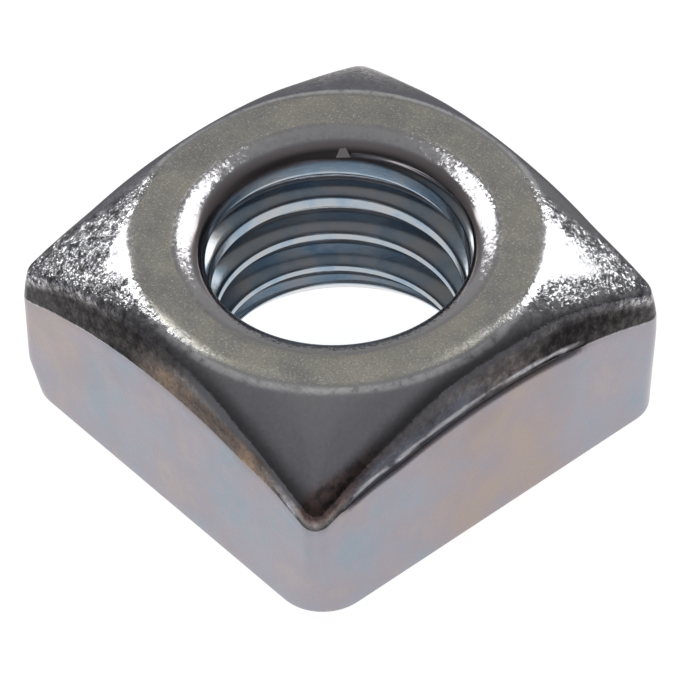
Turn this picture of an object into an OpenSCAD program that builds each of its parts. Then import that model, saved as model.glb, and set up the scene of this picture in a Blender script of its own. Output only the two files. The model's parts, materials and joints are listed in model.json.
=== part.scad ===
// Square nut, cold pressed from one piece of steel and tapped for an M8 x 1.25 bolt.
// Millimetres, +Z up. The origin is the middle of the flat underside.
// The round top face falls away over a shallow cone to the four corners. Each flat ends in an
// arched top edge, and above it the metal leans in and rolls over instead of filling the die.

/* [Body] */
// Width across opposite flats
across_flats = 12.8; // [12:0.1:15]
// Height from the underside to the top face
nut_height = 6.2; // [5.4:0.1:9]
// Radius of the upright edges between two flats
upright_edge_r = 0.5; // [0.2:0.05:0.8]
// Radius of the edges round the underside
foot_edge_r = 0.15; // [0.1:0.05:0.5]
// How far each corner draws in at the underside
corner_draw_in = 0.45; // [0.1:0.05:0.9]
// Height over which a corner draws in
corner_draw_height = 2.4; // [1:0.1:3]

/* [Crown] */
// Diameter of the flat round top face
face_d = 11.3; // [10.4:0.1:11.6]
// Radius that blends the top face into the cone
face_rim_r = 0.6; // [0.2:0.1:1.2]
// Slope of the cone between the top face and the corners, in degrees
cone_slope = 28; // [20:1:34]
// Drop from the top face to the top edge of a flat, at the middle of the flat
arch_middle_drop = 1.5; // [1.3:0.05:1.8]
// Drop from the top face to the top edge of a flat, at its ends
arch_end_drop = 2.85; // [2.5:0.05:3.2]
// Height of the leaning band above the top edge of a flat
band_height = 1.2; // [0.9:0.05:1.3]
// Lean of that band, in degrees from upright
band_lean = 14; // [8:1:22]
// Slope of the rolled shoulder above the band, in degrees
shoulder_slope = 45; // [38:1:60]

/* [Hole] */
// Diameter of the bore, at the crests of the thread
bore_d = 6.8; // [6.2:0.1:7.2]
// Outer diameter of the shallow bevel round the hole in the top face
bevel_d = 9.1; // [8.7:0.1:9.6]
// Slope of that bevel, in degrees
bevel_slope = 15; // [8:1:25]
// Diameter of the throat, where the bevel turns down into the hole
throat_d = 7.9; // [7.5:0.1:8.3]
// Included angle of the throat's countersink, in degrees
throat_angle = 66; // [50:2:90]
// Radius of the lip between the bevel and the throat
lip_r = 0.3; // [0.1:0.05:0.5]
// Diameter of the hole's mouth in the underside
foot_mouth_d = 8.4; // [8:0.1:9.4]
// Included angle of the countersink in the underside, in degrees
foot_mouth_angle = 76; // [60:2:100]

/* [Hidden] */
$fn = 180;

// Room by which a cutting shape runs past the face that it cuts
past = 1;

half_width = across_flats / 2;
// Distance from the axis to an upright edge
corner_reach = sqrt(2) * (half_width - upright_edge_r) + upright_edge_r;

// Circle of the arched top edges of the flats, and the height of its centre
arch_rise = arch_end_drop - arch_middle_drop;
arch_r = (pow(half_width, 2) + pow(arch_rise, 2)) / (2 * arch_rise);
arch_centre_z = nut_height - arch_middle_drop - arch_r;

// A step of length r at an angle from the first axis
function step_at(r, angle) = r * [cos(angle), sin(angle)];

// Square with rounded corners, as seen from above
module flats_outline() {
  inner = across_flats - 2 * upright_edge_r;
  square([across_flats, inner], center = true);
  square([inner, across_flats], center = true);
  for (x = [-1, 1], y = [-1, 1])
    translate([x, y] * inner / 2) circle(r = upright_edge_r);
}

// Side view of the block, with its two lower edges rounded
module foot_outline() {
  inner = across_flats - 2 * foot_edge_r;
  translate([-half_width, foot_edge_r]) square([across_flats, nut_height + past]);
  translate([-inner / 2, 0]) square([inner, nut_height + past]);
  for (x = [-1, 1])
    translate([x * inner / 2, foot_edge_r]) circle(r = foot_edge_r);
}

// Block with rounded lower edges along the Y axis
module foot_prism() {
  rotate([90, 0, 0]) linear_extrude(2 * across_flats, center = true) foot_outline();
}

// Half section of the hole: bevel, rounded lip, throat, bore and the countersink in the underside
module hole_section() {
  bore_r = bore_d / 2;
  bevel_edge = [bevel_d / 2, nut_height];
  lip_corner = [throat_d / 2, nut_height - (bevel_d - throat_d) / 2 * tan(bevel_slope)];
  bore_top = lip_corner[1] - (lip_corner[0] - bore_r) / tan(throat_angle / 2);
  foot_edge = [foot_mouth_d / 2, 0];
  bore_foot = (foot_edge[0] - bore_r) / tan(foot_mouth_angle / 2);
  polygon([
    [0, -past], foot_edge - [0, past], foot_edge, [bore_r, bore_foot],
    [bore_r, bore_top], lip_corner, bevel_edge, bevel_edge + [0, past], [0, nut_height + past]
  ]);
  // The lip's circle touches the bevel and the throat and lies in the metal between them
  throat_way = 270 - throat_angle / 2;
  metal_half = (360 + bevel_slope - throat_way) / 2;
  touch = lip_r / tan(metal_half);
  touch_throat = lip_corner + step_at(touch, throat_way);
  touch_bevel = lip_corner + step_at(touch, bevel_slope);
  lip_centre = lip_corner + step_at(lip_r / sin(metal_half), throat_way + metal_half);
  in_hole = lip_corner - step_at(touch, throat_way + metal_half);
  difference() {
    polygon([in_hole, touch_throat, lip_centre, touch_bevel]);
    translate(lip_centre) circle(r = lip_r);
  }
}

// Half section of what is turned: drawn-in corners, cone, blended rim, top face and hole
module turned_section() {
  envelope_r = corner_reach + past;
  draw_foot = [corner_reach - corner_draw_in, 0];
  draw_end = [envelope_r, corner_draw_height * (1 + past / corner_draw_in)];
  face_edge = [face_d / 2, nut_height];
  rim_centre = face_edge - [0, face_rim_r];
  rim_end = rim_centre + step_at(face_rim_r, 90 - cone_slope);
  rim_corner = face_edge + [face_rim_r * tan(cone_slope / 2), 0];
  cone_end = [envelope_r, nut_height - (envelope_r - rim_corner[0]) * tan(cone_slope)];
  difference() {
    polygon([[0, 0], [envelope_r, 0], cone_end, rim_corner, [0, nut_height]]);
    polygon([draw_foot, [envelope_r + past, 0], draw_end]);
    difference() {
      polygon([face_edge, rim_corner, rim_end]);
      translate(rim_centre) circle(r = face_rim_r);
    }
    hole_section();
  }
}

// Section of a spool whose two rims shape the metal above opposite flats: the arched edge of the
// flat, the leaning band and the rolled shoulder.
// The first axis runs up from the arch's centre, the second out to the flats.
module spool_section() {
  edge = [arch_r, half_width];
  shoulder = edge + band_height * [1, -tan(band_lean)];
  spool_r = norm([arch_r + arch_middle_drop, half_width]) + past;
  crest = [spool_r, shoulder[1] - (spool_r - shoulder[0]) / tan(shoulder_slope)];
  rim = [[0, half_width], edge, shoulder, crest];
  rim_back = [for (i = [3:-1:0]) [rim[i][0], -rim[i][1]]];
  polygon(concat(rim, rim_back));
}

// Spool about the Y axis: its rims lie over the flats that face -Y and +Y
module crown_spool() {
  translate([0, 0, arch_centre_z]) rotate([90, 0, 0]) rotate_extrude() spool_section();
}

module square_nut() {
  color("silver") intersection() {
    linear_extrude(nut_height + past) flats_outline();
    rotate_extrude() turned_section();
    crown_spool();
    rotate(90) crown_spool();
    foot_prism();
    rotate(90) foot_prism();
  }
}

square_nut();
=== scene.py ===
"""Dresses the square nut: a pressed, tapped and zinc plated mesh stands for its solid.

Shapes are worked out in millimetres and written to the mesh in metres. Heights count from the top face, so
they are negative on the nut. Angles about the axis count from +X towards +Y. Left, right, front and behind
are as the camera sees the nut. A pair that smooth_step takes is the value at which a share is 0 and the one
at which it is 1.
"""

import json
import math

import bpy
import numpy as np
from mathutils import Matrix, Vector


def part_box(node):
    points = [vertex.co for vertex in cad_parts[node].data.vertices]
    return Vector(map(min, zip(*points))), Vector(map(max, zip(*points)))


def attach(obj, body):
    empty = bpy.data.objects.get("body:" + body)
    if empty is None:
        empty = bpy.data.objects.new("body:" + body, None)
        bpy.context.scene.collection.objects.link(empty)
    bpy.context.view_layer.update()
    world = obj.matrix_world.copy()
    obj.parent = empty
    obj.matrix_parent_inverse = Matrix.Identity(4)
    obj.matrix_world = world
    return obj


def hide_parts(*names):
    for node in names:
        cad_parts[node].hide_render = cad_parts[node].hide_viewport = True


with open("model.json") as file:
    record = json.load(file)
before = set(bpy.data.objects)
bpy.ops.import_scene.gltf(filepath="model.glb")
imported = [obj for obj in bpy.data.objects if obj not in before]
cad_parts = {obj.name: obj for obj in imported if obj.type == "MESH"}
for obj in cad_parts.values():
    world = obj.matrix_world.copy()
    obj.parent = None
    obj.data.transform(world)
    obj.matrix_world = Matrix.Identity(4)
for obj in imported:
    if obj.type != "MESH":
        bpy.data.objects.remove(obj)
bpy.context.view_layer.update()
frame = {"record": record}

MM = 0.001

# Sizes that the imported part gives
node_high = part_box("square_nut")[1]
HALF = node_high.x / MM
HEIGHT = node_high.z / MM
CREST_R = next(m for m in frame["record"]["mounts"] if m["name"] == "thread")["dims"]["r_mm"]

# Crown: the face and the cone that falls from its rim to the corners
CONE_START_R = 5.80
CONE_SLOPE = math.tan(math.radians(24.5))
CONE_DOME = 0.042
RIM_BLEND = 0.11

# Rolled metal above each flat: a small step at the flat's arched edge, a leaning band and a round shoulder
ARCH_R = 15.4
ARCH_DROP = 1.48
STEP_IN = 0.004
STEP_IN_RIGHT = 0.05
STEP_RISE = 0.02
BAND_RISE = 0.74
BAND_RISE_BEHIND = 1.16
BAND_RISE_FRONT = 0.45
BAND_LEAN = math.radians(13.5)
BAND_LEAN_CORNER = math.radians(7)
BAND_LEAN_CORNERNESS = (0.6, 1)
SHOULDER_R = 1.45
SHOULDER_R_BEHIND = 0.64
SHOULDER_END = math.radians(52)
ROLL_BLEND = 0.36
ROLL_BLEND_CORNER = 0.80
ROLL_BLEND_FRONT = 1.3
ROLL_BLEND_CORNERNESS = (0.3, 1)
CORNER_BLEND = 1.2

# Where the roll differs: behind, at the front corner and along the right-hand flat, which faces +X
BEHIND_OUT = (-5.0, -2.4)
BEHIND_DROP = 0.10
BEHIND_DROP_OUT = (3.5, 5.5)
BEHIND_DROP_ALONG = (-5.5, -3.5)
FRONT_COSINE = (0.82, 0.99)
FRONT_LIFT = 0.20
FRONT_LIFT_COSINE = (0.95, 1)
RIGHT_X = (5.0, 5.6)
RIGHT_START_Y = (-5.4, -4.6)
RIGHT_END_Y = (3.6, 2.6)

# Upright edges: their radius at the top of the flats, what it gains at the underside and the height over
# which it does. The four corners count from the one at (+X, +Y) towards -X
EDGE_R = 0.52
CORNER_GAIN = (0.50, 0.50, 0.68, 0.95)
CORNER_GAIN_HEIGHT = (3.0, 2.0, 1.15, 2.0)
FOOT_R = 0.15

# Hole: a shallow bevel with a rounded edge, a throat, a bell mouth below it and a countersink underneath
BEVEL_R = 4.55
BEVEL_SLOPE = math.tan(math.radians(18))
BEVEL_BLEND = 0.08
BEVEL_END_R = 4.40
THROAT_R = 4.07
THROAT_LEAN = 0.65
LIP_BLEND = 0.50
BELL_DEPTH = 4.0
BELL_WIDEN = 0.36
BELL_POWER = 1.3
BELL_BLEND = 0.06
FOOT_MOUTH_R = 4.20
FOOT_MOUTH_LEAN = 0.78

# Thread: right-hand, with flanks at 30 degrees
PITCH = 1.25
FLANK_R = 3.42
FLANK_HALF = 0.12
FLANK_SLOPE = 1 / math.tan(math.radians(30))
ROOT_R = 4.06
THREAD_BLEND = 0.05
CREST_DEPTH = 0.88
CREST_ANGLE = math.radians(141)
THREAD_START = 0.42
THREAD_FULL = 0.80

# Chip of metal on the far side of the throat: each corner as a radius, a distance to the side and a height
CHIP_ANGLE = math.radians(137)
CHIP_CORNERS = (
    (4.02, 0.0, -0.27),
    (3.60, -0.24, -0.45),
    (3.60, 0.18, -0.47),
    (3.98, -0.16, -0.66),
    (3.98, 0.12, -0.66),
)
CHIP_FACES = ((0, 1, 2), (1, 3, 4, 2), (0, 3, 1), (0, 2, 4), (0, 4, 3))

# Kinds of surface. R is a distance from the axis, RISE a height over the top edge of the flat
FLAT_MARGIN = 0.01
HOLE_R = (THROAT_R + 0.05, THROAT_R - 0.10)
THROAT_Z = (-0.74, -0.60)
LIP_R = (BEVEL_R + 0.15, BEVEL_R - 0.25)
FACE_R = (CONE_START_R - 0.05, CONE_START_R - 0.20)
# Rim: its brighter colour is partly its own polish and partly a painted highlight
RIM_R = 5.84
RIM_WIDTH = (0.13, 0.05)
ROLL_OVER = (-0.15, 0.45)
ROLL_LATE = 0.25
ROLL_LATE_X = (3, 5)
ROLL_LATE_Y = (4, 1)
BAND_TOP_RISE = (0.75, 0.45)
LEFT_ROLL_Y = (-4, -5)
RIGHT_ROLL_X = (4, 5)

# Front corner: the cone there stays bare of the roll's colour and of its painted shade, most of all on its
# left. Angles in degrees
FRONT_CORNER_ANGLE = -45
BARE_LEAST = 0.35
BARE_MORE = 0.6
BARE_SIDE = (3, -3)
BARE_COSINE = (0.72, 0.90)
BARE_RISE = (0.20, 0.45)

# Painted shade on the roll, where it should look dark in its reflections: at the corners, at the outer ends
# of the two front flats and at the tip of the front corner
PAINTED_SHADE_CORNERS = 0.8
PAINTED_SHADE_CORNERNESS = (0.30, 0.70)
PAINTED_SHADE_LEFT_X = (0.5, -1.5)
PAINTED_SHADE_RIGHT_Y = (0.5, 2.5)
PAINTED_SHADE_TIP_RISE = (0.5, 0.3)
PAINTED_SHADE_TIP_COSINE = (0.982, 0.996)

# Tints and painted highlight lines over the two front flats. The rust runs from the tip of the front corner
# up the cone and to the right, by an angle in degrees, and the painted sheen falls towards that corner
GOLD_START_X = (-1.4, 0.4)
GOLD_END_X = (5.4, 4.0)
BLUE_START_Y = (-5.6, -4.6)
BLUE_END_Y = (0.6, -1.2)
RUST_R = (6.6, 7.8)
RUST_TIP_R = 8.2
RUST_TIP_SIDE = 5
RUST_SIDE_PER_MM = 11
RUST_WIDTH = (7, 3)
RUST_RISE = (0.15, 0.40)
PAINTED_SHEEN_X = 2.57
PAINTED_SHEEN_RISE = 0.75
PAINTED_SHEEN_FALL = 0.2
PAINTED_SHEEN_WIDTH = (0.14, 0.03)
PAINTED_SHEEN_START_X = (1.6, 2.6)
PAINTED_SHEEN_END_X = (5.8, 5.4)
# Painted highlight on the flash line over the right-hand flat, by its rise over the flat's edge
PAINTED_FLASH_START_RISE = (0.08, 0.11)
PAINTED_FLASH_END_RISE = (0.22, 0.17)

# Warm tint on the right-hand flat and, weaker, at the outer end of the left-hand one
WARM_X = (5, 6)
WARM_START_Y = (-3.2, -1.0)
WARM_END_Y = (3.4, 1.6)
WARM_LEFT = 0.7
WARM_LEFT_X = (-2.0, -4.5)
WARM_LEFT_Y = (-5, -6)
WARM_LEFT_Z = (-4.8, -3.8)

# Grain of the cone, by the angle in degrees from the side that the photograph shows. LEAST_MOST is its
# strength on a side. It is polished off between two borders there, each of them an angle at the rim and its
# change per millimetre out from the rim
FRONT_ANGLE = -39.0
GRAIN_ASIDE = (40, 72)
GRAIN_RIGHT_LEAST_MOST = (0.34, 0.62)
GRAIN_RIGHT_ASIDE = (70, 95)
GRAIN_LEFT_LEAST_MOST = (0.50, 0.92)
GRAIN_LEFT_ASIDE = (64, 88)
GRAIN_FADE = 0.8
GRAIN_FADE_ASIDE = (120, 150)
GRAIN_BEHIND = (-0.6, 0.6)
GRAIN_BEHIND_OVER = (-0.35, -0.10)
POLISHED_RIGHT = ((70, 7.5), (93, -7))
POLISHED_LEFT = ((77, 10), (103, -30))
POLISHED_BLEND = (-3, 3)

# Camera, as the photograph was taken: angles in degrees, lengths in millimetres, places in pixels
FRAME_PX = 675
CAMERA_AZIMUTH = 51.0
CAMERA_ELEVATION = 45.45
CAMERA_ROLL = 2.4
CAMERA_DISTANCE = 205
PX_PER_MM = 35.85
NUT_CENTRE_PX = (339.8, 315.4)
SENSOR = 36
CLIP_START = 10

# Studio: angles in degrees, lengths in millimetres
SOFTBOX_ELEVATION = 40
SOFTBOX_DISTANCE = 200
SOFTBOX_RADIANCE = 2.4
RING_HALF = 11
RING_FADE_HALF = 61
RING_OUTER_HALF = 900
RING_LIFT = 0.01
FLOOR_HALF = 2000

# Fineness of the mesh
COLUMNS = 360
COLUMN_STEPS = 7201
CORNER_CROWDING = 3
CORNER_WIDTH = math.radians(3.5)
CROWN_LINES = 60
CROWN_STEPS = 900
CROWN_TURN_WEIGHT = 0.35
FLAT_LINES = 14
FOOT_LINES = 7
UNDERSIDE_LINES = 5
PITCH_LINES = 26
LIP_LINES = 22
WELD = 2e-4
WELD_OFFSET = 0.137

# Least values, so that nothing is divided by 0
LEAST_OUT = 0.1
LEAST_SPAN = 1e-6


def smooth_min(a, b, span):
    """The lesser of two heights, with the crease between them rounded over a span."""
    share = np.clip(0.5 + 0.5 * (b - a) / span, 0, 1)
    return b + (a - b) * share - span * share * (1 - share)


def smooth_max(a, b, span):
    return -smooth_min(-a, -b, span)


def smooth_step(none, full, x):
    """Share that goes smoothly from 0 to 1 between two values, of which either may be the greater."""
    share = np.clip((x - none) / (full - none), 0, 1)
    return share * share * (3 - 2 * share)


def outline_r(angle, half, edge_r):
    """Distance from the axis to a square outline with rounded corners."""
    c = np.abs(np.cos(angle))
    s = np.abs(np.sin(angle))
    straight = half / np.maximum(c, s)
    inner = half - edge_r
    on_round = inner * (c + s) + np.sqrt(np.maximum(edge_r**2 - (inner * (c - s)) ** 2, 0))
    return np.where(straight * np.minimum(c, s) > inner, on_round, straight)


def edge_r_at(angle, z):
    """Radius of the upright edges at a height: each corner draws in towards the underside in its own way."""
    corner = np.floor((angle % math.tau) / (math.pi / 2)).astype(int) % 4
    height = np.array(CORNER_GAIN_HEIGHT)[corner]
    share = np.clip((height - HEIGHT - z) / height, 0, 1)
    return EDGE_R + np.array(CORNER_GAIN)[corner] * share


def roll_rise(inset, lean, band_rise, shoulder_r, step_in):
    """Rise of the rolled metal over a flat's top edge, at a distance in from the flat."""
    shoulder_in = step_in + (band_rise - STEP_RISE) * np.tan(lean)
    step = STEP_RISE * inset / step_in
    band = STEP_RISE + (inset - step_in) / np.tan(lean)
    turn = np.clip(np.cos(lean) - (inset - shoulder_in) / shoulder_r, math.cos(SHOULDER_END), 1)
    shoulder = band_rise + shoulder_r * (np.sqrt(1 - turn**2) - np.sin(lean))
    end_in = shoulder_in + shoulder_r * (np.cos(lean) - math.cos(SHOULDER_END))
    beyond = np.maximum(inset - end_in, 0) / math.tan(SHOULDER_END)
    return np.where(inset < step_in, step, np.where(inset < shoulder_in, band, shoulder + beyond))


def behind(x, y, out):
    """Share of the two sides that face +Y and -X. The pair is a distance past the corners' diagonals."""
    return smooth_step(*out, np.maximum(y - np.abs(x), -x - np.abs(y)))


def front_cosine(x, y):
    """Cosine of the angle about the axis between a place and the corner at (+X, -Y), the front one."""
    return (x - y) / math.sqrt(2) / np.hypot(x, y)


def in_front(x, y):
    """1 at the front corner, 0 away from it."""
    return smooth_step(*FRONT_COSINE, front_cosine(x, y))


def on_right(x, y):
    """1 along most of the flat that faces +X, 0 elsewhere."""
    return smooth_step(*RIGHT_X, x) * smooth_step(*RIGHT_START_Y, y) * smooth_step(*RIGHT_END_Y, y)


def cornerness(x, y):
    """0 over the middle of a flat, 1 over a corner."""
    x = np.abs(x)
    y = np.abs(y)
    return np.minimum(x, y) / np.maximum(np.maximum(x, y), LEAST_OUT)


def turned_height(x, y):
    """Height of the bevel round the hole, of the face and of the cone round it."""
    r = np.hypot(x, y)
    out = r - CONE_START_R
    cone = -out * (CONE_SLOPE + CONE_DOME * np.maximum(out, 0))
    bevel = (r - BEVEL_R) * BEVEL_SLOPE
    return smooth_min(smooth_min(np.zeros_like(cone), cone, RIM_BLEND), bevel, BEVEL_BLEND)


def rolled_height(x, y):
    """Height of the metal that rises from the flats' arched edges and rolls over, also round the corners."""
    back = behind(x, y, BEHIND_OUT)
    band_rise = BAND_RISE + (BAND_RISE_BEHIND - BAND_RISE) * back
    band_rise += (BAND_RISE_FRONT - BAND_RISE) * in_front(x, y)
    shoulder_r = SHOULDER_R + (SHOULDER_R_BEHIND - SHOULDER_R) * back
    step_in = STEP_IN + (STEP_IN_RIGHT - STEP_IN) * on_right(x, y)
    lift = FRONT_LIFT * smooth_step(*FRONT_LIFT_COSINE, front_cosine(x, y))
    drop_left = smooth_step(*BEHIND_DROP_OUT, -x) * smooth_step(*BEHIND_DROP_ALONG, y)
    drop_right = smooth_step(*BEHIND_DROP_OUT, y) * smooth_step(*BEHIND_DROP_ALONG, -x)
    lift -= BEHIND_DROP * np.maximum(drop_left, drop_right)
    x = np.abs(x)
    y = np.abs(y)
    out_x = np.maximum(x - HALF + EDGE_R, 0)
    out_y = np.maximum(y - HALF + EDGE_R, 0)
    # Away from the upright edges, the crease over the diagonal is rounded the more the further in it lies
    rounding = np.maximum(HALF - EDGE_R - np.maximum(x, y), 0) + LEAST_SPAN
    inner = HALF - smooth_max(x, y, rounding)
    inset = np.where(np.maximum(out_x, out_y) > 0, EDGE_R - np.hypot(out_x, out_y), inner)
    lean = BAND_LEAN + (BAND_LEAN_CORNER - BAND_LEAN) * smooth_step(*BAND_LEAN_CORNERNESS, cornerness(x, y))
    reach = ARCH_R + roll_rise(inset, lean, band_rise, shoulder_r, step_in)
    return np.sqrt(reach**2 - smooth_min(x, y, CORNER_BLEND) ** 2) - ARCH_R - ARCH_DROP + lift


def crown_height(x, y):
    """Height of the crown, with the crease between what is turned and what is rolled rounded."""
    corner_blend = ROLL_BLEND_CORNER + (ROLL_BLEND_FRONT - ROLL_BLEND_CORNER) * in_front(x, y)
    blend = ROLL_BLEND + (corner_blend - ROLL_BLEND) * smooth_step(*ROLL_BLEND_CORNERNESS, cornerness(x, y))
    return smooth_min(turned_height(x, y), rolled_height(x, y), blend)


def hole_r(z):
    """Radius of the hole before it is tapped."""
    lip = smooth_max(BEVEL_R + z / BEVEL_SLOPE, THROAT_R + THROAT_LEAN * z, LIP_BLEND)
    bell = CREST_R + BELL_WIDEN * np.clip((z + BELL_DEPTH) / BELL_DEPTH, 0, 1) ** BELL_POWER
    return np.maximum(smooth_max(lip, bell, BELL_BLEND), FOOT_MOUTH_R - FOOT_MOUTH_LEAN * (z + HEIGHT))


def thread_r(angle, z):
    """Radius of the tapped hole."""
    turns = (z + CREST_DEPTH) / PITCH - (angle - CREST_ANGLE) / math.tau
    off_crest = np.abs(turns - np.round(turns)) * PITCH
    groove = np.minimum(FLANK_R + FLANK_SLOPE * (off_crest - FLANK_HALF), ROOT_R)
    bore = hole_r(z)
    tapped = smooth_max(groove, bore, THREAD_BLEND)
    return bore + (tapped - bore) * smooth_step(-THREAD_START, -THREAD_FULL, z)


def column_angles():
    """Angles of the mesh columns, closer together at the four corners."""
    fine = np.linspace(0, math.tau, COLUMN_STEPS)
    off_corner = (fine % (math.pi / 2)) - math.pi / 4
    weight = 1 + CORNER_CROWDING * np.exp(-((off_corner / CORNER_WIDTH) ** 2))
    total = np.concatenate([[0], np.cumsum((weight[1:] + weight[:-1]) / 2)])
    return np.interp(np.arange(COLUMNS) / COLUMNS * total[-1], total, fine)


def ring(angle, r, z):
    return np.stack([r * np.cos(angle), r * np.sin(angle), np.broadcast_to(z, r.shape)], axis=-1)


def crown_rings(angles):
    """Rings over the crown, from the bevel to the top edge of the flats, closer where the surface turns."""
    share = 1 - (1 - np.linspace(0, 1, CROWN_STEPS)) ** 2
    edge = outline_r(angles, HALF, EDGE_R)
    rings = np.empty((CROWN_LINES, len(angles), 3))
    for column, angle in enumerate(angles):
        r = BEVEL_END_R + (edge[column] - BEVEL_END_R) * share
        z = crown_height(r * math.cos(angle), r * math.sin(angle))
        dr = np.diff(r)
        dz = np.diff(z)
        turn = np.abs(np.diff(np.unwrap(np.arctan2(dz, dr)), prepend=0))
        turn[0] = 0
        weight = np.hypot(dr, dz) + CROWN_TURN_WEIGHT * turn
        total = np.concatenate([[0], np.cumsum(weight)])
        at = np.interp(np.linspace(0, total[-1], CROWN_LINES), total, r)
        height = crown_height(at * math.cos(angle), at * math.sin(angle))
        rings[:, column] = ring(np.full(CROWN_LINES, angle), at, height)
    return list(rings)


def flat_rings(angles, top):
    """Rings down the flats, from below their top edge to the start of the rounded foot."""
    rings = []
    for share in np.linspace(0, 1, FLAT_LINES + 1)[1:]:
        z = top + (FOOT_R - HEIGHT - top) * share
        rings.append(ring(angles, outline_r(angles, HALF, edge_r_at(angles, z)), z))
    return rings


def foot_rings(angles):
    """Rings round the lower edge and in over the underside to the hole."""
    rings = []
    for turn in np.linspace(0, math.pi / 2, FOOT_LINES)[1:]:
        inset = FOOT_R * (1 - math.cos(turn))
        z = FOOT_R * (1 - math.sin(turn)) - HEIGHT
        rings.append(ring(angles, outline_r(angles, HALF - inset, edge_r_at(angles, z) - inset), z))
    outer = outline_r(angles, HALF - FOOT_R, edge_r_at(angles, -HEIGHT) - FOOT_R)
    for share in np.linspace(0, 1, UNDERSIDE_LINES)[1:]:
        rings.append(ring(angles, outer + (FOOT_MOUTH_R - outer) * share, -HEIGHT))
    return rings


def thread_rows(angles):
    """Rows of points up the hole. Each row follows the helix and stops at the two mouths."""
    low = (FOOT_MOUTH_R - ROOT_R - THREAD_BLEND) / FOOT_MOUTH_LEAN - HEIGHT
    high = -THREAD_START
    around = np.append(angles, math.tau)
    count = math.ceil(((high - low) / PITCH + 1) * PITCH_LINES) + 1
    rows = []
    for line in range(count):
        z = np.clip(low + PITCH * (line / PITCH_LINES - 1 + around / math.tau), low, high)
        rows.append(ring(around, thread_r(around, z), z))
    return rows, high


def lip_rings(angles, start):
    """Rings up the throat and round the lip's edge, from the end of the thread to the bevel."""
    end = turned_height(BEVEL_END_R, 0.0)
    short = BEVEL_END_R - hole_r(end)
    rings = []
    for share in np.linspace(0, 1, LIP_LINES)[1:-1]:
        z = start + (end - start) * (1 - (1 - share) ** 2)
        rings.append(ring(angles, np.full(len(angles), hole_r(z) + short * share**2), z))
    return rings


def chip_points():
    """Corners of the chip, of which the back lies in the metal."""
    out = np.array([math.cos(CHIP_ANGLE), math.sin(CHIP_ANGLE), 0])
    aside = np.array([-math.sin(CHIP_ANGLE), math.cos(CHIP_ANGLE), 0])
    return np.array([r * out + side * aside + (0, 0, z) for r, side, z in CHIP_CORNERS])


def closed_ring(points):
    return np.concatenate([points, points[:1]])


def nut_strips():
    """Strips of the surface, each a list of rows of points: the outside, the hole and what joins them."""
    angles = column_angles()
    crown = crown_rings(angles)
    outside = crown + flat_rings(angles, crown[-1][:, 2]) + foot_rings(angles)
    rows, thread_top = thread_rows(angles)
    lip = lip_rings(angles, thread_top)
    return [
        [closed_ring(r) for r in outside],
        rows,
        [rows[-1]] + [closed_ring(r) for r in lip + crown[:1]],
        [closed_ring(outside[-1]), rows[0]],
    ]


def welded(strips):
    """Points and polygons of the strips, with points that lie together made one."""
    points = []
    faces = []
    for strip in strips:
        first = sum(len(p) for p in points)
        width = len(strip[0])
        points.extend(strip)
        for line in range(len(strip) - 1):
            at = first + line * width + np.arange(width - 1)
            faces.append(np.stack([at, at + width, at + width + 1, at + 1], axis=1))
    points = np.concatenate(points)
    faces = np.concatenate(faces)
    # The offset keeps round values, such as the heights of the mouths, away from the borders of the cells
    keys = np.round(points / WELD + WELD_OFFSET).astype(np.int64)
    _, first, same = np.unique(keys, axis=0, return_index=True, return_inverse=True)
    polygons = []
    for face in same.reshape(-1)[faces].tolist():
        corners = [v for i, v in enumerate(face) if v != face[i - 1]]
        if len(set(corners)) == len(corners) > 2:
            polygons.append(corners)
    return points[first], polygons


def nut_mesh():
    """The nut as one closed mesh, with the small closed form of the chip, and its kinds of surface."""
    points, polygons = welded(nut_strips())
    chip_faces = [[len(points) + corner for corner in face] for face in CHIP_FACES]
    points = np.concatenate([points, chip_points()])
    shares = surface_shares(points)
    points[:, 2] += HEIGHT
    mesh = bpy.data.meshes.new("square_nut_zinc")
    mesh.from_pydata(points * MM, [], polygons + chip_faces)
    for name, share in shares.items():
        attribute = mesh.attributes.new(name + "_share", "FLOAT", "POINT")
        attribute.data.foreach_set("value", share.astype(np.float32))
    mesh.validate()
    mesh.shade_smooth()
    for face in mesh.polygons[len(polygons):]:
        face.use_smooth = False
    return mesh


def grain_share(x, y, over):
    """Share of the cone's grain. The last value is how far the turned form lies over the rolled one."""
    from_front = np.degrees(np.arctan2(y, x)) - FRONT_ANGLE
    to_right = (from_front + 180) % 360 - 180
    aside = np.abs(to_right)
    out = np.hypot(x, y) - CONE_START_R
    grain = smooth_step(*GRAIN_ASIDE, aside)
    sides = []
    for (least, most), least_to_most, borders in (
        (GRAIN_RIGHT_LEAST_MOST, GRAIN_RIGHT_ASIDE, POLISHED_RIGHT),
        (GRAIN_LEFT_LEAST_MOST, GRAIN_LEFT_ASIDE, POLISHED_LEFT),
    ):
        front, back = [at_rim + per_mm * out for at_rim, per_mm in borders]
        polished = smooth_step(*POLISHED_BLEND, back - aside) * smooth_step(*POLISHED_BLEND, aside - front)
        sides.append((least + (most - least) * smooth_step(*least_to_most, aside)) * (1 - polished))
    grain *= np.where(to_right > 0, *sides)
    grain *= 1 - GRAIN_FADE * smooth_step(*GRAIN_FADE_ASIDE, aside)
    return grain * (1 - behind(x, y, GRAIN_BEHIND) * smooth_step(*GRAIN_BEHIND_OVER, over))


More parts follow.
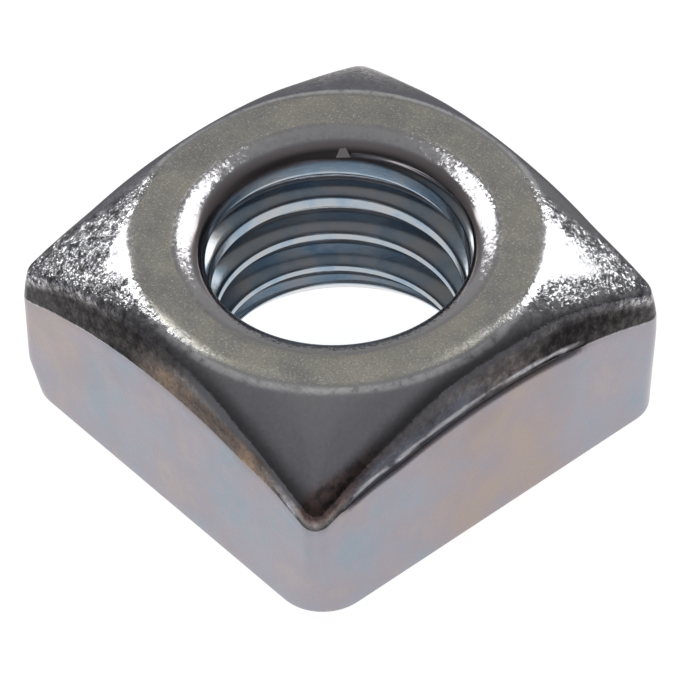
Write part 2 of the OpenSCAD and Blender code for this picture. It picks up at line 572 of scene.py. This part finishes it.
def surface_shares(points):
    """How far each point belongs to each kind of surface."""
    x, y, z = points.T
    r = np.hypot(x, y)
    angle = np.arctan2(y, x)
    edge = outline_r(angle, HALF, EDGE_R)
    rise = z - crown_height(edge * np.cos(angle), edge * np.sin(angle))
    over = turned_height(x, y) - rolled_height(x, y)
    outside = r > BEVEL_R
    flat = np.where(outside & (rise < FLAT_MARGIN), 1.0, 0.0)
    crown = np.where(outside, 1 - flat, 0.0)
    hole = smooth_step(*HOLE_R, r)
    on_left_roll = smooth_step(*LEFT_ROLL_Y, y)
    on_right_roll = smooth_step(*RIGHT_ROLL_X, x)

    late = ROLL_LATE * smooth_step(*ROLL_LATE_X, x) * smooth_step(*ROLL_LATE_Y, y)
    # Rolled metal: its colour is partly its own and partly painted shade
    roll = crown * smooth_step(*ROLL_OVER, over - late)
    band = roll * smooth_step(*BAND_TOP_RISE, rise)
    side = np.degrees(angle) - FRONT_CORNER_ANGLE
    bare = BARE_LEAST + BARE_MORE * smooth_step(*BARE_SIDE, side)
    roll *= 1 - bare * smooth_step(*BARE_COSINE, front_cosine(x, y)) * smooth_step(*BARE_RISE, rise)

    # Painted shade: where near-black colour is laid over the roll
    painted_shade_corners = PAINTED_SHADE_CORNERS * smooth_step(*PAINTED_SHADE_CORNERNESS, cornerness(x, y)) * (1 - in_front(x, y))
    painted_shade_left = smooth_step(*PAINTED_SHADE_LEFT_X, x) * on_left_roll
    painted_shade_right = smooth_step(*PAINTED_SHADE_RIGHT_Y, y) * on_right_roll
    painted_shade_tip = smooth_step(*PAINTED_SHADE_TIP_RISE, rise) * smooth_step(*PAINTED_SHADE_TIP_COSINE, front_cosine(x, y))
    painted_shade = roll * np.maximum.reduce([painted_shade_corners, painted_shade_left, painted_shade_right, painted_shade_tip])

    gold = band * on_left_roll * smooth_step(*GOLD_START_X, x) * smooth_step(*GOLD_END_X, x)
    blue = band * on_right_roll * smooth_step(*BLUE_START_Y, y) * smooth_step(*BLUE_END_Y, y)
    rust_side = RUST_TIP_SIDE + RUST_SIDE_PER_MM * (RUST_TIP_R - r)
    rust = crown * smooth_step(*RUST_R, r) * smooth_step(*RUST_RISE, rise)
    rust *= smooth_step(*RUST_WIDTH, np.abs(side - rust_side))
    # Painted sheen: a pale line laid along the left-hand roll as a highlight
    sheen_rise = PAINTED_SHEEN_RISE - PAINTED_SHEEN_FALL * (x - PAINTED_SHEEN_X)
    sheen = roll * on_left_roll * smooth_step(*PAINTED_SHEEN_WIDTH, np.abs(rise - sheen_rise))
    sheen *= smooth_step(*PAINTED_SHEEN_START_X, x) * smooth_step(*PAINTED_SHEEN_END_X, x)
    # Painted highlight on the flash line just above the right-hand flat's edge
    flash = crown * on_right(x, y) * smooth_step(*PAINTED_FLASH_START_RISE, rise) * smooth_step(*PAINTED_FLASH_END_RISE, rise)

    warm_right = smooth_step(*WARM_X, x) * smooth_step(*WARM_START_Y, y) * smooth_step(*WARM_END_Y, y)
    warm_left = smooth_step(*WARM_LEFT_X, x) * smooth_step(*WARM_LEFT_Y, y) * smooth_step(*WARM_LEFT_Z, z)
    return {
        "flat": flat,
        "hole": hole,
        "throat": hole * smooth_step(*THROAT_Z, z),
        "lip": (1 - hole) * smooth_step(*LIP_R, r),
        "face": crown * (1 - roll) * smooth_step(*FACE_R, r),
        "rim": crown * smooth_step(*RIM_WIDTH, np.abs(r - RIM_R)),
        "grain": grain_share(x, y, over),
        "roll": roll,
        "painted_shade": painted_shade,
        "gold": gold,
        "blue": blue,
        "rust": rust,
        "sheen": sheen,
        "flash": flash,
        "warm": flat * np.maximum(warm_right, WARM_LEFT * warm_left),
    }


def add_node(tree, kind, inputs=(), **settings):
    """A shader node with its settings, and a value or a link for each input that is named."""
    made = tree.nodes.new(kind)
    for name, value in settings.items():
        setattr(made, name, value)
    for name, value in dict(inputs).items():
        if isinstance(value, bpy.types.NodeSocket):
            tree.links.new(value, made.inputs[name])
        else:
            made.inputs[name].default_value = value
    return made


def mix_colour(tree, share, first, second):
    made = add_node(tree, "ShaderNodeMix", {0: share, 6: first, 7: second}, data_type="RGBA")
    return made.outputs[2]


def mix_value(tree, share, first, second):
    made = add_node(tree, "ShaderNodeMix", {0: share, 2: first, 3: second}, data_type="FLOAT")
    return made.outputs[0]


def math_node(tree, operation, first, second):
    return add_node(tree, "ShaderNodeMath", {0: first, 1: second}, operation=operation).outputs[0]


def vector_node(tree, operation, inputs):
    return add_node(tree, "ShaderNodeVectorMath", inputs, operation=operation).outputs["Vector"]


def dot_node(tree, first, second):
    made = add_node(tree, "ShaderNodeVectorMath", {0: first, 1: second}, operation="DOT_PRODUCT")
    return made.outputs["Value"]


def noise_node(tree, place, scale, detail, roughness):
    inputs = {"Vector": place, "Scale": scale, "Detail": detail, "Roughness": roughness}
    return add_node(tree, "ShaderNodeTexNoise", inputs).outputs["Fac"]


def ramp_node(tree, share, *stops):
    """A colour ramp. Each stop is a share and a colour."""
    made = add_node(tree, "ShaderNodeValToRGB", {"Fac": share})
    elements = made.color_ramp.elements
    while len(elements) < len(stops):
        elements.new(0.5)
    for element, (position, colour) in zip(elements, stops):
        element.position = position
        element.color = (*colour, 1)
    return made.outputs["Color"]


def range_node(tree, value, low, high, to_low=0, to_high=1):
    inputs = {"Value": value, "From Min": low, "From Max": high, "To Min": to_low, "To Max": to_high}
    return add_node(tree, "ShaderNodeMapRange", inputs).outputs["Result"]


def layered(tree, mix, base, share, **layers):
    """Colours or values laid over a base in turn, each as far as the share of its name goes."""
    for name, layer in layers.items():
        base = mix(tree, share[name], base, layer)
    return base


def zinc_colour(tree, share, fine, clumps, patches, mottle):
    """Base colour of the plate. The last four values are noise, from small to large."""
    flat = ramp_node(tree, mottle, (0.36, (0.30, 0.34, 0.39)), (0.46, (0.34, 0.335, 0.38)),
                     (0.54, (0.35, 0.325, 0.365)), (0.66, (0.39, 0.345, 0.345)))
    warm = ramp_node(tree, mottle, (0.36, (0.325, 0.315, 0.35)), (0.50, (0.36, 0.31, 0.32)),
                     (0.62, (0.385, 0.32, 0.295)))
    # Colour of the rolled metal, partly its own and partly painted shade: kept darker than the cone so that
    # the rolled edges look dark
    roll = ramp_node(tree, clumps, (0.36, (0.19, 0.175, 0.175)), (0.50, (0.29, 0.26, 0.25)),
                     (0.64, (0.42, 0.38, 0.365)))
    # Painted shade: the near-black colour laid over the roll
    painted_shade = ramp_node(tree, clumps, (0.36, (0.035, 0.033, 0.035)), (0.50, (0.06, 0.056, 0.057)),
                     (0.64, (0.11, 0.103, 0.10)))
    gold = ramp_node(tree, patches, (0.36, (0.26, 0.22, 0.20)), (0.52, (0.39, 0.30, 0.24)),
                     (0.64, (0.54, 0.39, 0.27)))
    blue = ramp_node(tree, patches, (0.36, (0.15, 0.15, 0.18)), (0.64, (0.34, 0.36, 0.43)))
    rust = ramp_node(tree, clumps, (0.40, (0.20, 0.16, 0.155)), (0.50, (0.36, 0.26, 0.24)),
                     (0.62, (0.48, 0.34, 0.31)))
    face = ramp_node(tree, patches, (0.36, (0.53, 0.525, 0.51)), (0.50, (0.59, 0.58, 0.54)),
                     (0.62, (0.63, 0.615, 0.545)))
    pits = range_node(tree, fine, 0.46, 0.32, 0, 0.45)
    glints = range_node(tree, fine, 0.57, 0.68, 0, 0.9)
    face = mix_colour(tree, pits, face, (0.36, 0.35, 0.32, 1))
    face = mix_colour(tree, glints, face, (1.0, 0.99, 0.93, 1))
    # Rim colour, near white: partly the rim's own polish and partly a painted highlight
    rim = ramp_node(tree, clumps, (0.34, (0.55, 0.55, 0.56)), (0.44, (0.82, 0.82, 0.83)),
                    (0.60, (0.95, 0.95, 0.96)))
    grain = ramp_node(tree, clumps, (0.38, (0.16, 0.155, 0.16)), (0.48, (0.56, 0.56, 0.59)),
                      (0.58, (0.95, 0.95, 0.98)))
    hole = ramp_node(tree, patches, (0.38, (0.31, 0.40, 0.49)), (0.50, (0.41, 0.465, 0.52)),
                     (0.60, (0.46, 0.475, 0.49)))
    flat = mix_colour(tree, share["warm"], flat, warm)
    roll = mix_colour(tree, share["painted_shade"], roll, painted_shade)
    cone = (0.51, 0.51, 0.535, 1)
    # Painted sheen: a pale colour that stands in for a highlight along the left-hand roll
    sheen = (0.60, 0.62, 0.70, 1)
    # Painted flash highlight: a near-white colour that stands in for the highlight on the flash line
    flash = (0.95, 0.95, 1.0, 1)
    lip = (0.57, 0.56, 0.58, 1)
    throat = (0.42, 0.375, 0.375, 1)
    # The two painted highlight lines on the roll, the painted sheen and the painted flash highlight, are
    # broken up
    broken = dict(share)
    broken["sheen"] = math_node(tree, "MULTIPLY", share["sheen"], range_node(tree, clumps, 0.28, 0.56))
    broken["flash"] = math_node(tree, "MULTIPLY", share["flash"], range_node(tree, patches, 0.42, 0.52))
    return layered(tree, mix_colour, cone, broken, grain=grain, face=face, rim=rim, roll=roll, gold=gold,
                   rust=rust, sheen=sheen, blue=blue, flash=flash, flat=flat, lip=lip, hole=hole,
                   throat=throat)


def zinc_normal(tree, share, place, grain, patches):
    """Normal of the plate: small flakes that lean each its own way, and a fine grain over them."""
    most_lean = 0.55
    least_tilt = 0.08
    flakes_per_mm = 12
    grain_height = 0.06
    tilt = math_node(tree, "MAXIMUM", share["grain"], least_tilt)
    tilt = layered(tree, mix_value, tilt, share, face=0.10, roll=0.11, flat=0.0, lip=0.20, hole=0.0)
    flakes = add_node(tree, "ShaderNodeTexVoronoi", {"Vector": place, "Scale": flakes_per_mm})
    lean = vector_node(tree, "SUBTRACT", {0: flakes.outputs["Color"], 1: (0.5, 0.5, 0.5)})
    lean = vector_node(tree, "SCALE", {0: lean, 3: math_node(tree, "MULTIPLY", tilt, most_lean)})
    smooth = add_node(tree, "ShaderNodeNewGeometry").outputs["Normal"]
    leaning = vector_node(tree, "NORMALIZE", {0: vector_node(tree, "ADD", {0: smooth, 1: lean})})
    ragged = math_node(tree, "MULTIPLY", share["grain"], range_node(tree, patches, 0.3, 0.6, 0.35, 0.8))
    depth = layered(tree, mix_value, ragged, share, face=0.07, roll=0.09, flat=0.05, lip=0.09, hole=0.015)
    height = math_node(tree, "MULTIPLY", depth, grain)
    inputs = {"Strength": 1.0, "Distance": grain_height * MM, "Height": height, "Normal": leaning}
    return add_node(tree, "ShaderNodeBump", inputs).outputs["Normal"]


def zinc(share_names):
    """Bright zinc plate: satin face, sparkling cone, rolled edges darkened partly by painted shade, a rim
    brightened partly by a painted highlight, two painted highlight lines on the roll, and pale, faintly
    tinted flats.
    """
    material = bpy.data.materials.new("zinc_plate")
    material.use_nodes = True
    tree = material.node_tree
    shader = tree.nodes["Principled BSDF"]
    shader.inputs["Metallic"].default_value = 1
    share = {}
    for name in share_names:
        attribute = add_node(tree, "ShaderNodeAttribute", attribute_name=name)
        share[name.removesuffix("_share")] = attribute.outputs["Fac"]
    metres = add_node(tree, "ShaderNodeTexCoord").outputs["Object"]
    place = vector_node(tree, "SCALE", {0: metres, 3: 1 / MM})
    fine = noise_node(tree, place, scale=16, detail=3, roughness=0.6)
    grain = noise_node(tree, place, scale=10, detail=2, roughness=0.6)
    clumps = noise_node(tree, place, scale=3.5, detail=3, roughness=0.6)
    patches = noise_node(tree, place, scale=0.9, detail=4, roughness=0.6)
    mottle = noise_node(tree, place, scale=0.50, detail=6, roughness=0.64)
    face_rough = range_node(tree, patches, 0.3, 0.7, 0.26, 0.32)
    flat_rough = range_node(tree, patches, 0.3, 0.7, 0.22, 0.34)
    cone_rough = 0.16
    rough = layered(tree, mix_value, cone_rough, share,
                    face=face_rough, roll=0.30, flat=flat_rough, lip=0.20, hole=0.16)
    tree.links.new(zinc_colour(tree, share, fine, clumps, patches, mottle), shader.inputs["Base Color"])
    tree.links.new(rough, shader.inputs["Roughness"])
    tree.links.new(zinc_normal(tree, share, place, grain, patches), shader.inputs["Normal"])
    return material


def add_nut():
    mesh = nut_mesh()
    share_names = [attribute.name for attribute in mesh.attributes if attribute.name.endswith("_share")]
    mesh.materials.append(zinc(share_names))
    nut = bpy.data.objects.new("zinc_square_nut", mesh)
    bpy.context.scene.collection.objects.link(nut)
    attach(nut, "root")
    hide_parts("square_nut")


def direction(azimuth, elevation):
    """Unit vector to a place round the nut. The azimuth counts from the camera's side, to the right."""
    turn = math.radians(CAMERA_AZIMUTH + azimuth)
    rise = math.radians(elevation)
    return Vector((math.sin(turn) * math.cos(rise), -math.cos(turn) * math.cos(rise), math.sin(rise)))


def camera_axes():
    """The camera's right, up and back directions."""
    roll = math.radians(CAMERA_ROLL)
    back = direction(0, CAMERA_ELEVATION)
    level = direction(90, 0)
    upright = back.cross(level)
    right = level * math.cos(roll) - upright * math.sin(roll)
    return right, back.cross(right), back


def add_camera():
    right, up, back = camera_axes()
    aside = (NUT_CENTRE_PX[0] - FRAME_PX / 2) / PX_PER_MM
    above = (FRAME_PX / 2 - NUT_CENTRE_PX[1]) / PX_PER_MM
    aim = Vector((0, 0, HEIGHT / 2)) - right * aside - up * above
    data = bpy.data.cameras.new("camera")
    data.sensor_width = SENSOR
    data.lens = SENSOR * CAMERA_DISTANCE * PX_PER_MM / FRAME_PX
    data.clip_start = CLIP_START * MM
    camera = bpy.data.objects.new("camera", data)
    place = Matrix((right, up, back)).transposed().to_4x4()
    place.translation = (aim + back * CAMERA_DISTANCE) * MM
    camera.matrix_world = place
    bpy.context.scene.collection.objects.link(camera)
    bpy.context.scene.camera = camera


def add_softbox(name, azimuth, width, height):
    """An area light that faces the nut. Its azimuth counts from the camera's side, to the right."""
    back = direction(azimuth, SOFTBOX_ELEVATION)
    data = bpy.data.lights.new(name, "AREA")
    data.shape = "RECTANGLE"
    data.size = width * MM
    data.size_y = height * MM
    data.energy = SOFTBOX_RADIANCE * math.pi * data.size * data.size_y
    light = bpy.data.objects.new(name, data)
    light.location = (Vector((0, 0, HEIGHT / 2)) + back * SOFTBOX_DISTANCE) * MM
    light.rotation_euler = back.to_track_quat("Z", "Y").to_euler()
    light.visible_camera = False
    bpy.context.scene.collection.objects.link(light)


def add_stage_piece(name, points, faces):
    """A piece of the stage, from points in millimetres. Gives the piece and its material."""
    mesh = bpy.data.meshes.new(name)
    mesh.from_pydata([Vector(point) * MM for point in points], [], faces)
    piece = bpy.data.objects.new(name, mesh)
    bpy.context.scene.collection.objects.link(piece)
    material = bpy.data.materials.new(name)
    material.use_nodes = True
    mesh.materials.append(material)
    return piece, material


def square(half, z):
    return [(-half, -half, z), (half, -half, z), (half, half, z), (-half, half, z)]


def add_dark_ring():
    """A card on the floor round the nut that only reflections see: in them the floor darkens outwards."""
    points = square(RING_HALF, RING_LIFT) + square(RING_OUTER_HALF, RING_LIFT)
    faces = [(i, (i + 1) % 4, (i + 1) % 4 + 4, i + 4) for i in range(4)]
    card, material = add_stage_piece("dark_ring", points, faces)
    card.visible_camera = False
    card.visible_diffuse = False
    card.visible_shadow = False
    tree = material.node_tree
    metres = add_node(tree, "ShaderNodeTexCoord").outputs["Object"]
    sides = add_node(tree, "ShaderNodeSeparateXYZ", {0: vector_node(tree, "ABSOLUTE", {0: metres})})
    away = math_node(tree, "MAXIMUM", sides.outputs["X"], sides.outputs["Y"])
    colour = ramp_node(tree, range_node(tree, away, RING_HALF * MM, RING_FADE_HALF * MM),
                       (0.0, (1.0, 1.0, 1.0)), (0.04, (0.55, 0.53, 0.52)),
                       (0.08, (0.29, 0.28, 0.28)), (0.16, (0.19, 0.188, 0.195)),
                       (0.40, (0.175, 0.176, 0.193)), (1.0, (0.185, 0.187, 0.205)))
    shader = tree.nodes["Principled BSDF"]
    shader.inputs["Base Color"].default_value = (0, 0, 0, 1)
    shader.inputs["Specular IOR Level"].default_value = 0
    shader.inputs["Emission Strength"].default_value = 1
    tree.links.new(colour, shader.inputs["Emission Color"])


def add_floor():
    """A pale floor that glows, so that it stays white round the nut."""
    floor, material = add_stage_piece("floor", square(FLOOR_HALF, 0), [(0, 1, 2, 3)])
    shader = material.node_tree.nodes["Principled BSDF"]
    shader.inputs["Base Color"].default_value = (0.3, 0.3, 0.3, 1)
    shader.inputs["Roughness"].default_value = 0.9
    shader.inputs["Specular IOR Level"].default_value = 0
    shader.inputs["Emission Color"].default_value = (1, 1, 1, 1)
    shader.inputs["Emission Strength"].default_value = 0.95


def add_world():
    """A dim room that is lightest high up behind the nut and dark low down and to the sides."""
    world = bpy.data.worlds.new("studio")
    world.use_nodes = True
    tree = world.node_tree
    seen = add_node(tree, "ShaderNodeTexCoord").outputs["Generated"]
    towards = dot_node(tree, seen, direction(azimuth=180, elevation=45))
    colour = ramp_node(tree, range_node(tree, towards, -1, 1),
                       (0.35, (0.05, 0.05, 0.053)), (0.50, (0.105, 0.105, 0.112)),
                       (0.64, (0.19, 0.19, 0.20)), (0.77, (0.255, 0.255, 0.263)),
                       (0.90, (0.34, 0.34, 0.337)), (1.0, (0.272, 0.265, 0.255)))
    aside = math_node(tree, "ABSOLUTE", dot_node(tree, seen, direction(azimuth=90, elevation=0)), 0)
    dimming = range_node(tree, aside, 0.3, 0.8, 0, 0.38)
    colour = mix_colour(tree, dimming, colour, (0, 0, 0, 1))
    tree.links.new(colour, tree.nodes["Background"].inputs["Color"])
    bpy.context.scene.world = world


add_camera()
add_floor()
add_world()
add_softbox("softbox_left", azimuth=-139.5, width=78, height=112)
add_softbox("softbox_right", azimuth=138, width=76, height=114)
add_dark_ring()
add_nut()
bpy.context.scene.view_settings.view_transform = "Standard"
